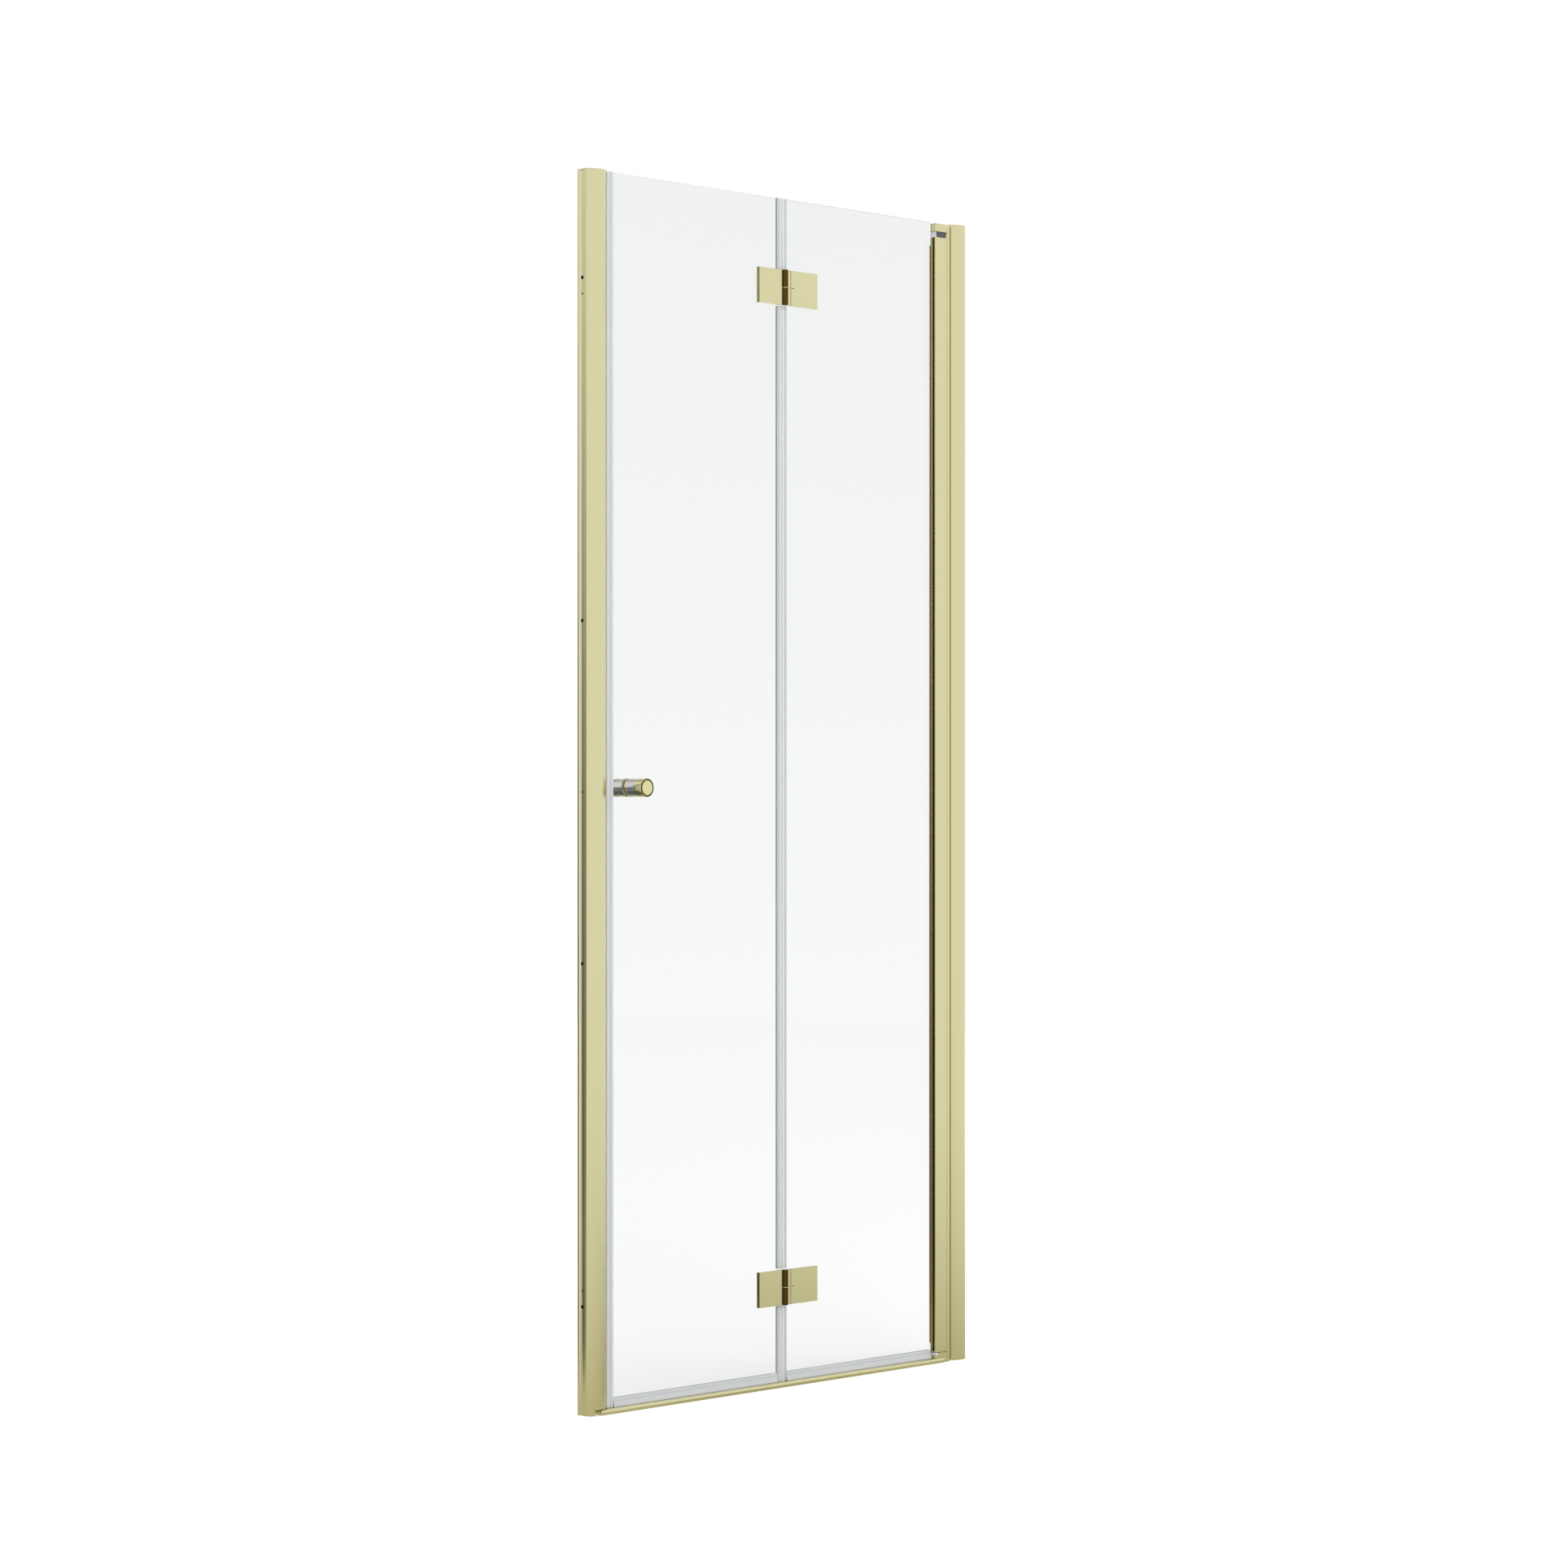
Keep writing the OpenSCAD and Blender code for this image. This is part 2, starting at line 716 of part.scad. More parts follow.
// Upper half of the lift, which turns with the post and rides up the lower one
module lift_cam_rider() {
    z0 = cam_mid - chamber_r;
    color(nylon_white) at_pivot() difference() {
        translate([0, 0, z0]) cylinder(h = cam_mid + bush_l - z0, r = chamber_r - touch);
        translate([0, 0, z0 - over])
            cylinder(h = cam_mid + bush_l - z0 + 2 * over, r = pivot_pin_r + pin_clear);
        lift_side(cam_mid + cam_gap, -1);
    }
}

module threshold_bar() {
    color(brushed_gold)
        threshold_length(strike_wall_x + threshold_start, bottom_block_x0 - threshold_clear);
}

module threshold_end_cap() {
    color(brushed_gold)
        threshold_length(strike_wall_x + threshold_start - 3, strike_wall_x + threshold_start);
}

// ---- lift shoe ----

shoe_z0 = post_top + 0.2;
shoe_z1 = top_block_z0 + shoe_overlap;

module shoe_half(x0, x1) {
    intersection() {
        translate([0, 0, shoe_z0]) linear_extrude(shoe_z1 - shoe_z0) shoe_outline(spigot_clear);
        translate([x0, -post_front, 0]) cube([x1 - x0, post_front + post_back, door_h]);
    }
}

module lift_shoe() {
    color(steel_grey) at_pivot() difference() {
        shoe_half(shoe_split, heel_r);
        cylinder(h = door_h, r = pivot_pin_r);
    }
}

module lift_shoe_nose() {
    color(nylon_white) at_pivot() shoe_half(-post_reach, shoe_split);
}

module top_pivot_pin() {
    color(steel_grey) at_pivot() translate([0, 0, shoe_z1 - top_pin_l])
        cylinder(h = top_pin_l - touch, r = pivot_pin_r);
}

// ---- pivot post, turning ----

module post_section() {
    difference() {
        post_outline();
        translate([-post_reach - over, slot_y0])
            square([slot_x + post_reach + over, slot_y1 - slot_y0]);
        translate([-post_reach - over, slot_y1 - over])
            square([back_leg_step + over, post_back - slot_y1 + 2 * over]);
        translate([-post_reach - over, -post_front + leg_lip])
            square([leg_groove_d + over, leg_groove_w]);
        circle(chamber_r);
    }
}

module pivot_post() {
    color(brushed_gold) at_pivot() translate([0, 0, post_bottom])
        linear_extrude(post_top - post_bottom) post_section();
}

module post_foot_plate() {
    color(brushed_gold) at_pivot() translate([0, 0, post_bottom - foot_t])
        linear_extrude(foot_t) difference() {
            block_outline();
            circle(chamber_r);
        }
}

module post_top_bush() {
    color(nylon_white) at_pivot() translate([0, 0, post_top - bush_l]) difference() {
        cylinder(h = bush_l, r = chamber_r - touch);
        translate([0, 0, -over]) cylinder(h = bush_l + 2 * over, r = pivot_pin_r + pin_clear);
    }
}

module gasket(y, reach) {
    z0 = post_bottom + tongue_z;
    z1 = post_top - tongue_z;
    color(clear_pvc) translate([pivot_x - reach, y, z0])
        cube([reach + slot_x - tongue_end, gasket_t, z1 - z0]);
}

module glazing_gasket_front() {
    gasket(glass_front - gasket_t, post_reach);
}

module glazing_gasket_back() {
    gasket(glass_back, post_reach - back_leg_step);
}

// ---- glass ----

// Bore and countersink for a leaf screw, which goes in from the back
module glass_screw_hole() {
    translate([0, glass_front - over, 0]) along_y() cylinder(h = glass_t + 2 * over, r = glass_hole_r);
    along_y() cylinder(h = glass_t / 2, r1 = glass_hole_r, r2 = csk_r);
}

module leaf_screw_places(x) {
    for (z = hinge_zs, side = [-1, 1])
        translate([fold_x + x, 0, z + side * leaf_screw_z]) children();
}

module main_glass() {
    color(glass_tint) difference() {
        union() {
            translate([main_x0, glass_front, glass_bottom])
                cube([main_x1 - main_x0, glass_t, door_h - glass_bottom]);
            translate([main_x1 - over, glass_front, post_bottom + tongue_z])
                cube([pivot_x + slot_x - tongue_end - main_x1 + over, glass_t,
                    post_top - post_bottom - 2 * tongue_z]);
        }
        leaf_screw_places(main_screw_x) glass_screw_hole();
    }
}

module leading_glass() {
    color(glass_tint) difference() {
        translate([leading_x0, glass_front, glass_bottom])
            cube([leading_x1 - leading_x0, glass_t, door_h - glass_bottom]);
        leaf_screw_places(leading_screw_x) glass_screw_hole();
        translate([knob_x, glass_front - over, knob_z])
            along_y() cylinder(h = glass_t + 2 * over, r = knob_hole_r);
    }
}

// ---- clip-on seals ----

// Section of a clip on a glass edge at x = 0, where the glass lies towards +x
module edge_clip(grip, grip_back) {
    outer = glass_t / 2 + seal_t;
    difference() {
        union() {
            translate([-seal_t, -outer]) square([grip + seal_t, outer]);
            translate([-seal_t, -over]) square([grip_back + seal_t, outer + over]);
        }
        translate([0, -glass_t / 2]) square([max(grip, grip_back) + over, glass_t]);
    }
}

// The fold seal's section: a clip with a hollow bulb that reaches to the middle of the gap
module fold_seal_section() {
    bulb_r = glass_t / 2 + seal_t / 3;
    reach = fold_gap / 2 - 0.4;
    edge_clip(fold_grip, fold_grip_back);
    intersection() {
        translate([bulb_r - reach, 0]) difference() {
            circle(bulb_r);
            circle(bulb_r - seal_t * 0.8);
        }
        translate([-reach, -bulb_r]) square([reach - seal_t + touch, 2 * bulb_r]);
    }
}

// Three lengths of fold seal, above, between and below the hinges
module fold_seal() {
    half = hinge_h / 2 + seal_break;
    cuts = [inner_bottom, hinge_zs[0] - half, hinge_zs[0] + half,
        hinge_zs[1] - half, hinge_zs[1] + half, door_h];
    color(clear_pvc) for (i = [0 : 2 : 4])
        translate([0, 0, cuts[i]]) linear_extrude(cuts[i + 1] - cuts[i]) fold_seal_section();
}

module main_fold_seal() {
    translate([main_x0, 0, 0]) fold_seal();
}

module leading_fold_seal() {
    translate([leading_x1, 0, 0]) mirror([1, 0, 0]) fold_seal();
}

module leading_magnet_seal() {
    color(clear_pvc) translate([0, 0, inner_bottom]) linear_extrude(door_h - inner_bottom) {
        translate([leading_seal_x, 0]) magnet_pocket(leading_pocket_w);
        translate([leading_x0, 0]) edge_clip(magnet_grip, magnet_grip);
    }
}

module leading_magnet_bar() {
    color(magnet_brown) translate([leading_seal_x, 0, inner_bottom + touch])
        linear_extrude(door_h - inner_bottom - 2 * touch) magnet_core(leading_pocket_w);
}

// Section of a bottom seal, glass edge at height 0: clip, flared front skirt and back wiper
module bottom_seal_section() {
    outer = glass_t / 2 + seal_t;
    tip = threshold_h + wiper_gap - glass_bottom;
    shoulder = 2;
    flare = 2.6;
    difference() {
        translate([-outer, -seal_t]) square([2 * outer, seal_t + bottom_grip]);
        translate([-glass_t / 2, 0]) square([glass_t, bottom_grip + over]);
    }
    polygon([[-outer + touch, shoulder], [-outer + touch, -seal_t], [-outer - flare + seal_t, tip],
        [-outer - flare, tip], [-outer - seal_t / 2, shoulder - 1]]);
    translate([outer - 2 * seal_t, tip]) square([seal_t, -tip - seal_t + touch]);
}

// A length of bottom seal from x0 to x1
module bottom_seal(x0, x1) {
    color(clear_pvc) translate([x0, 0, glass_bottom]) rotate([90, 0, 90])
        linear_extrude(x1 - x0) bottom_seal_section();
}

module main_bottom_seal() {
    bottom_seal(main_x0 + fold_grip + 3 * touch, main_x1 - post_gap / 2);
}

module leading_bottom_seal() {
    bottom_seal(leading_x0 + magnet_grip + 3 * touch, leading_x1 - fold_grip - 3 * touch);
}

// ---- fold hinges ----

// Plan of a leaf from the fold axis: side 1 is the main leaf, and -1 the leading one
module leaf_plan(side, x0, x1) {
    scale_x = side;
    mirror([scale_x < 0 ? 1 : 0, 0]) difference() {
        translate([x0, 0]) square([x1 - x0, leaf_t]);
        translate([x0, 0]) round_corner_cut(leaf_edge_r);
    }
}

// A knuckle and the web that joins it to its leaf
module knuckle_plan(side, x0) {
    difference() {
        union() {
            circle(knuckle_r);
            mirror([side < 0 ? 1 : 0, 0]) translate([0, 1]) square([x0 + 1, leaf_t - 2]);
        }
        circle(hinge_pin_r + pin_clear);
    }
}

module leaf_screw_holes(x) {
    for (side = [-1, 1])
        translate([x, leaf_t - leaf_screw_l - 0.5, side * leaf_screw_z])
            along_y() cylinder(h = leaf_screw_l + 0.5 + over, r = leaf_screw_r + touch);
}

module main_leaf_at(z) {
    half = hinge_h / 2;
    groove_x = main_leaf_end + 5;
    slit_l = 14;
    color(polished_gold) at_fold() translate([0, 0, z]) difference() {
        union() {
            translate([0, 0, -half]) linear_extrude(hinge_h) leaf_plan(1, main_leaf_end, main_leaf);
            translate([0, 0, -half]) linear_extrude(half - hinge_washer_t / 2 - touch)
                knuckle_plan(1, main_leaf_end);
        }
        translate([groove_x, -over, -half - over]) cube([1.5, over + 0.8, hinge_h + 2 * over]);
        translate([main_leaf_end - over, -over, -0.6]) cube([slit_l + over, over + 3, 1.2]);
        leaf_screw_holes(main_screw_x);
    }
}

module leading_leaf_at(z) {
    half = hinge_h / 2;
    color(polished_gold) at_fold() translate([0, 0, z]) difference() {
        union() {
            translate([0, 0, -half]) linear_extrude(hinge_h)
                leaf_plan(-1, leading_leaf_end, leading_leaf);
            translate([0, 0, hinge_washer_t / 2 + touch])
                linear_extrude(half - hinge_washer_t / 2 - touch) knuckle_plan(-1, leading_leaf_end);
        }
        leaf_screw_holes(leading_screw_x);
    }
}

module hinge_leaf_main_top() {
    main_leaf_at(hinge_zs[1]);
}

module hinge_leaf_main_bottom() {
    main_leaf_at(hinge_zs[0]);
}

module hinge_leaf_leading_top() {
    leading_leaf_at(hinge_zs[1]);
}

module hinge_leaf_leading_bottom() {
    leading_leaf_at(hinge_zs[0]);
}

// Pads between x0 and x1 from the fold axis, one at each hinge
module hinge_pads(x0, x1, screw_x) {
    color(clear_pvc) for (z = hinge_zs) at_fold() difference() {
        translate([x0, leaf_t, z - hinge_h / 2 + 1]) cube([x1 - x0, pad_t, hinge_h - 2]);
        for (side = [-1, 1])
            translate([screw_x, leaf_t - over, z + side * leaf_screw_z])
                along_y() cylinder(h = pad_t + 2 * over, r = glass_hole_r);
    }
}

module hinge_pads_main() {
    hinge_pads(main_leaf_end + 1, main_leaf - 1, main_screw_x);
}

module hinge_pads_leading() {
    hinge_pads(-leading_leaf + 1, -leading_leaf_end - 1, leading_screw_x);
}

// Countersunk sleeve nut and screw in one, flush with the back of the glass
module leaf_screw() {
    neck_r = glass_hole_r - screw_clear;
    color(polished_gold) difference() {
        union() {
            along_y() cylinder(h = glass_t / 2, r1 = neck_r, r2 = csk_r - screw_clear);
            translate([0, glass_front - pad_t, 0]) along_y() cylinder(h = glass_t / 2 + pad_t, r = neck_r);
            translate([0, glass_front - pad_t - leaf_screw_l, 0])
                along_y() cylinder(h = leaf_screw_l + over, r = leaf_screw_r);
        }
        translate([0, glass_back - 2, 0]) along_y() cylinder(h = 2 + over, r = 2, $fn = 6);
    }
}

module hinge_screws_main() {
    leaf_screw_places(main_screw_x) leaf_screw();
}

module hinge_screws_leading() {
    leaf_screw_places(leading_screw_x) leaf_screw();
}

module hinge_pins() {
    for (z = hinge_zs)
        color(steel_grey) at_fold() translate([0, 0, z - hinge_h / 2 - 0.6])
            cylinder(h = hinge_h + 0.6 - touch, r = hinge_pin_r);
}

module hinge_washers() {
    for (z = hinge_zs)
        color(nylon_white) at_fold() translate([0, 0, z - hinge_washer_t / 2]) difference() {
            cylinder(h = hinge_washer_t, r = knuckle_r - 0.3);
            translate([0, 0, -over]) cylinder(h = hinge_washer_t + 2 * over, r = hinge_pin_r + touch);
        }
}

// ---- knob ----

// Places a piece on the glass: side -1 is the outside, and 1 the inside
module on_glass(side) {
    translate([knob_x, side * glass_t / 2, knob_z]) rotate([-90 * side, 0, 0]) children();
}

module knob_ring(z, l, r) {
    translate([0, 0, z]) difference() {
        cylinder(h = l, r = r);
        translate([0, 0, -over]) cylinder(h = l + 2 * over, r = knob_stud_r + pin_clear);
    }
}

module knob_body(side) {
    color(satin_silver) on_glass(side)
        knob_ring(knob_washer_t + knob_collar_l, knob_body_l, knob_d / 2 - 0.5);
}

// Gilt end: bored for the stud, chamfered, with a ring groove in its face
module knob_end(side) {
    z0 = knob_l - knob_end_l;
    chamfer = 0.8;
    groove = [knob_d / 2 - 3.2, knob_d / 2 - 1.2];
    groove_z = knob_l - 1.5;
    color(polished_gold) on_glass(side) difference() {
        union() {
            translate([0, 0, z0]) cylinder(h = knob_end_l - chamfer, d = knob_d);
            translate([0, 0, knob_l - chamfer])
                cylinder(h = chamfer, r1 = knob_d / 2, r2 = knob_d / 2 - chamfer);
        }
        translate([0, 0, z0 - over])
            cylinder(h = over + knob_end_l - 5, r = knob_stud_r + pin_clear);
        translate([0, 0, groove_z]) difference() {
            cylinder(h = knob_l, r = groove[1]);
            translate([0, 0, -over]) cylinder(h = knob_l, r = groove[0]);
        }
    }
}

module knob_body_front() {
    knob_body(-1);
}

module knob_body_back() {
    knob_body(1);
}

module knob_end_front() {
    knob_end(-1);
}

module knob_end_back() {
    knob_end(1);
}

module knob_collars() {
    for (side = [-1, 1])
        color(polished_gold) on_glass(side) knob_ring(knob_washer_t, knob_collar_l, knob_d / 2);
}

module knob_washers() {
    for (side = [-1, 1])
        color(clear_pvc) on_glass(side) knob_ring(0, knob_washer_t, knob_d / 2 - 1);
}

module knob_stud() {
    reach = glass_t / 2 + knob_l - 5 - touch;
    color(steel_grey) translate([knob_x, -reach, knob_z])
        along_y() cylinder(h = 2 * reach, r = knob_stud_r);
}

wall_channel_strike();
channel_cap_strike();
strike_profile();
strike_magnet_seal();
strike_magnet_bar();
strike_fixing_screws();
wall_channel_hinge();
channel_cap_hinge();
hinge_profile();
hinge_fixing_screws();
top_pivot_block();
bottom_pivot_block();
pivot_block_screws();
post_wear_pad();
bottom_pivot_pin();
lift_cam_base();
threshold_bar();
threshold_end_cap();
lift_shoe();
lift_shoe_nose();
top_pivot_pin();
pivot_post();
post_foot_plate();
post_top_bush();
lift_cam_rider();
main_glass();
glazing_gasket_front();
glazing_gasket_back();
main_bottom_seal();
main_fold_seal();
hinge_leaf_main_top();
hinge_leaf_main_bottom();
hinge_pads_main();
hinge_screws_main();
hinge_washers();
leading_glass();
leading_bottom_seal();
leading_fold_seal();
leading_magnet_seal();
leading_magnet_bar();
hinge_leaf_leading_top();
hinge_leaf_leading_bottom();
hinge_pads_leading();
hinge_screws_leading();
hinge_pins();
knob_body_front();
knob_end_front();
knob_body_back();
knob_end_back();
knob_collars();
knob_washers();
knob_stud();
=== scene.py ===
import bmesh
import bpy
import json
import math
import numpy as np
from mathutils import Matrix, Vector


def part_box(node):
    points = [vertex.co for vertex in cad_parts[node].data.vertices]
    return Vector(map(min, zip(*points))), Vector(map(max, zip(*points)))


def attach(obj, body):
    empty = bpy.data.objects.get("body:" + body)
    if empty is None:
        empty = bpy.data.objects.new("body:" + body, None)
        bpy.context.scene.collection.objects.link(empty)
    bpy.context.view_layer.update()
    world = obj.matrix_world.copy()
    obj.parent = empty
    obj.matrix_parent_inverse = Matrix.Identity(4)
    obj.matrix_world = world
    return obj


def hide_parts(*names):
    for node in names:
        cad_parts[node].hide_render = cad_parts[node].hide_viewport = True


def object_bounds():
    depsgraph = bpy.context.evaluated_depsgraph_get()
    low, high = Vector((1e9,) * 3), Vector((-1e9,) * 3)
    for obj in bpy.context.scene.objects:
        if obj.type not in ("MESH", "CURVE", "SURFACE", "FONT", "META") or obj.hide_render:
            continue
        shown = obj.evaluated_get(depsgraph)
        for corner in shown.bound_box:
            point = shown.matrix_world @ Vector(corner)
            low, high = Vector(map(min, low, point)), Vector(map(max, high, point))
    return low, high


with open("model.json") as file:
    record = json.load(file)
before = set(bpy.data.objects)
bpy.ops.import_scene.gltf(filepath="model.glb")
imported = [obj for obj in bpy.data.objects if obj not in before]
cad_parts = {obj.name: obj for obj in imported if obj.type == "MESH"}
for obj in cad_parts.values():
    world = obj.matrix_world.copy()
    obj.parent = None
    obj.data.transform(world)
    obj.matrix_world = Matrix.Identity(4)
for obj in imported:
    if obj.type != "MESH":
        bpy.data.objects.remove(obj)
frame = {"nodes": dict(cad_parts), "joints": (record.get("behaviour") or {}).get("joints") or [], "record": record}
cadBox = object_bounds()
nodes = frame["nodes"]
axes = {joint["name"]: joint["pos_m"] for joint in frame["joints"]}
print("frame loaded:", len(nodes), "nodes")


# sRGB hex to linear RGBA: the power curve above 0.04045, a straight line below it
def linear(hexColour):
    v = np.array([int(hexColour[i:i + 2], 16) for i in (1, 3, 5)]) / 255
    v = np.where(v > 0.04045, ((v + 0.055) / 1.055) ** 2.4, v / 12.92)
    return (*v.tolist(), 1.0)


# one node: properties and unlinked inputs by name or number, links as (input, source socket)
def addNode(tree, kind, links=(), settings=None, **properties):
    node = tree.nodes.new(kind)
    for name, value in properties.items():
        setattr(node, name, value)
    for name, value in (settings or {}).items():
        node.inputs[name].default_value = value
    for name, source in links:
        tree.links.new(source, node.inputs[name])
    return node


def startMaterial(name):
    material = bpy.data.materials.new(name)
    material.use_nodes = True
    tree = material.node_tree
    coordinates = addNode(tree, "ShaderNodeTexCoord")
    return material, tree, tree.nodes["Principled BSDF"], coordinates


# a second tone laid over the first where a factor says so
def tintOver(tree, shader, tone, factor, hexColour):
    over = addNode(tree, "ShaderNodeMix", [("Factor", factor), ("A", tone.outputs["Result"])],
                   data_type="RGBA")
    over.inputs["B"].default_value = linear(hexColour)
    tree.links.new(over.outputs["Result"], shader.inputs["Base Color"])
    return over


# all lengths in metres; the working lines are really about 0.1 mm apart, and drawn coarser to show
# anodised aluminium extrusion, etched and bright-dyed: silky, with faint lines along its draw
goldExtrusion = {"colour": "#DBD6AB", "dark": "#D8D2A5", "roughness": 0.22, "glossSpread": 0.02,
                 "linePitch": 0.0006, "lineDepth": 0.000003}
# die-cast zinc, gold plated: a little deeper and brighter than the extrusions
goldCast = {"colour": "#DAD5AA", "dark": "#D8D2A6", "roughness": 0.2, "glossSpread": 0.015,
            "linePitch": 0.0006, "lineDepth": 0.000001}
# turned brass, polished and plated: nearly a mirror, with fine turning rings
turnedBrass = {"colour": "#E4DEAC", "dark": "#DCD49C", "roughness": 0.13, "glossSpread": 0.03,
               "linePitch": 0.0008, "lineDepth": 0.000003}
# turned stainless steel with a satin finish
satinSteel = {"colour": "#DDDDE2", "dark": "#CFD0D4", "roughness": 0.24, "glossSpread": 0.04,
              "linePitch": 0.0008, "lineDepth": 0.000006}
# stainless screws and pins, as cut
screwSteel = {"colour": "#B4B6B7", "dark": "#9C9E9F", "roughness": 0.33, "glossSpread": 0.05,
              "linePitch": 0.0008, "lineDepth": 0.00001}
workingLines = {"stretch": 200, "detail": 2.0, "bumpReach": 0.0001}


# noise stretched along the working direction sets small changes of tone, gloss and height
def drawnMetal(name, values, along="z"):
    material, tree, shader, coordinates = startMaterial(name)
    scale = [1 / values["linePitch"]] * 3
    scale["xyz".index(along)] /= workingLines["stretch"]
    mapped = addNode(tree, "ShaderNodeMapping", [("Vector", coordinates.outputs["Object"])],
                     {"Scale": scale})
    lines = addNode(tree, "ShaderNodeTexNoise", [("Vector", mapped.outputs["Vector"])],
                    {"Scale": 1.0, "Detail": workingLines["detail"]})
    tone = addNode(tree, "ShaderNodeMix", [("Factor", lines.outputs["Fac"])], data_type="RGBA")
    tone.inputs["A"].default_value = linear(values["dark"])
    tone.inputs["B"].default_value = linear(values["colour"])
    tree.links.new(tone.outputs["Result"], shader.inputs["Base Color"])
    gloss = addNode(tree, "ShaderNodeMapRange", [("Value", lines.outputs["Fac"])],
                    {"To Min": values["roughness"] - values["glossSpread"],
                     "To Max": values["roughness"] + values["glossSpread"]})
    tree.links.new(gloss.outputs["Result"], shader.inputs["Roughness"])
    bump = addNode(tree, "ShaderNodeBump", [("Height", lines.outputs["Fac"])],
                   {"Strength": values["lineDepth"] / workingLines["bumpReach"],
                    "Distance": workingLines["bumpReach"]})
    tree.links.new(bump.outputs["Normal"], shader.inputs["Normal"])
    shader.inputs["Metallic"].default_value = 1.0
    return material, tree, shader, tone, coordinates


anodisedExtrusion = drawnMetal("anodisedGoldExtrusion", goldExtrusion)[0]
anodisedThreshold = drawnMetal("anodisedGoldThreshold", goldExtrusion, "x")[0]
platedCast = drawnMetal("goldPlatedZinc", goldCast)[0]
platedBrass = drawnMetal("goldPlatedBrass", turnedBrass, "y")[0]
satinKnobSteel = drawnMetal("satinStainlessSteel", satinSteel, "y")[0]
screwMetal = drawnMetal("cutStainlessSteel", screwSteel)[0]

# the hinges: painted shade, bronze-dark, in the crevice round the pins, a painted highlight on the land beside it,
# and painted shade on the leaves' narrow edges on the strike side; widths are from the fold's axis
hingePaintedLight = {"crevice": 0.0056, "softness": 0.0005, "creviceColour": "#56431F",
              "land": 0.0078, "landColour": "#FBF7DC", "edgeFacing": -0.7, "edgeColour": "#A09A66"}


def hingePlatingAndPaintedLight():
    material, tree, shader, tone, coordinates = drawnMetal("goldPlatedHinge", goldCast)
    place = addNode(tree, "ShaderNodeSeparateXYZ", [("Vector", coordinates.outputs["Object"])])
    foldX = axes["panel_fold"][0]
    away = addNode(tree, "ShaderNodeMath", [(0, place.outputs["X"])], {1: foldX}, operation="SUBTRACT")
    away = addNode(tree, "ShaderNodeMath", [(0, away.outputs[0])], operation="ABSOLUTE")
    mainSide = addNode(tree, "ShaderNodeMath", [(0, place.outputs["X"])], {1: foldX},
                       operation="GREATER_THAN")
    land = addNode(tree, "ShaderNodeMath", [(0, away.outputs[0])], {1: hingePaintedLight["land"]},
                   operation="LESS_THAN")
    land = addNode(tree, "ShaderNodeMath", [(0, mainSide.outputs[0]), (1, land.outputs[0])],
                   operation="MULTIPLY")
    facing = addNode(tree, "ShaderNodeSeparateXYZ", [("Vector", coordinates.outputs["Normal"])])
    edge = addNode(tree, "ShaderNodeMath", [(0, facing.outputs["X"])], {1: hingePaintedLight["edgeFacing"]},
                   operation="LESS_THAN")
    crevice = addNode(tree, "ShaderNodeMapRange", [("Value", away.outputs[0])],
                      {"From Min": hingePaintedLight["crevice"] - hingePaintedLight["softness"],
                       "From Max": hingePaintedLight["crevice"] + hingePaintedLight["softness"],
                       "To Min": 1.0, "To Max": 0.0})
    # painted light laid over the gold: a highlight on the land, then shade on the strike-side edges and in the
    # crevice
    over = tintOver(tree, shader, tone, land.outputs[0], hingePaintedLight["landColour"])
    over = tintOver(tree, shader, over, edge.outputs[0], hingePaintedLight["edgeColour"])
    tintOver(tree, shader, over, crevice.outputs["Result"], hingePaintedLight["creviceColour"])
    return material


# the knob's ends: a dark ring round the face, inside its rim, is painted shade
knobRingShade = {"ringInside": 0.0115, "ringOutside": 0.0146, "softness": 0.0003, "colour": "#6C6641"}


def knobPlatingAndPaintedShade():
    material, tree, shader, tone, coordinates = drawnMetal("goldPlatedKnobEnd", turnedBrass, "y")
    knobX, _, knobZ = np.mean(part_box("knob_end_front"), axis=0).tolist()
    flat = addNode(tree, "ShaderNodeMapping", [("Vector", coordinates.outputs["Object"])],
                   {"Location": (-knobX, 0, -knobZ), "Scale": (1, 0, 1)})
    radius = addNode(tree, "ShaderNodeVectorMath", [("Vector", flat.outputs["Vector"])],
                     operation="LENGTH")
    begin = addNode(tree, "ShaderNodeMapRange", [("Value", radius.outputs["Value"])],
                    {"From Min": knobRingShade["ringInside"] - knobRingShade["softness"],
                     "From Max": knobRingShade["ringInside"] + knobRingShade["softness"]})
    end = addNode(tree, "ShaderNodeMapRange", [("Value", radius.outputs["Value"])],
                  {"From Min": knobRingShade["ringOutside"] - knobRingShade["softness"],
                   "From Max": knobRingShade["ringOutside"], "To Min": 1.0, "To Max": 0.0})
    ring = addNode(tree, "ShaderNodeMath", [(0, begin.outputs["Result"]), (1, end.outputs["Result"])],
                   operation="MULTIPLY")
    # the ring's painted shade laid over the gold
    tintOver(tree, shader, tone, ring.outputs[0], knobRingShade["colour"])
    return material


# the post: inside the screw groove of its front leg, placed from the pivot's axis, shade is painted darker
postGrooveShade = {"floorX": -0.0133, "middleY": -0.003, "half": 0.0026, "colour": "#AE9A62"}


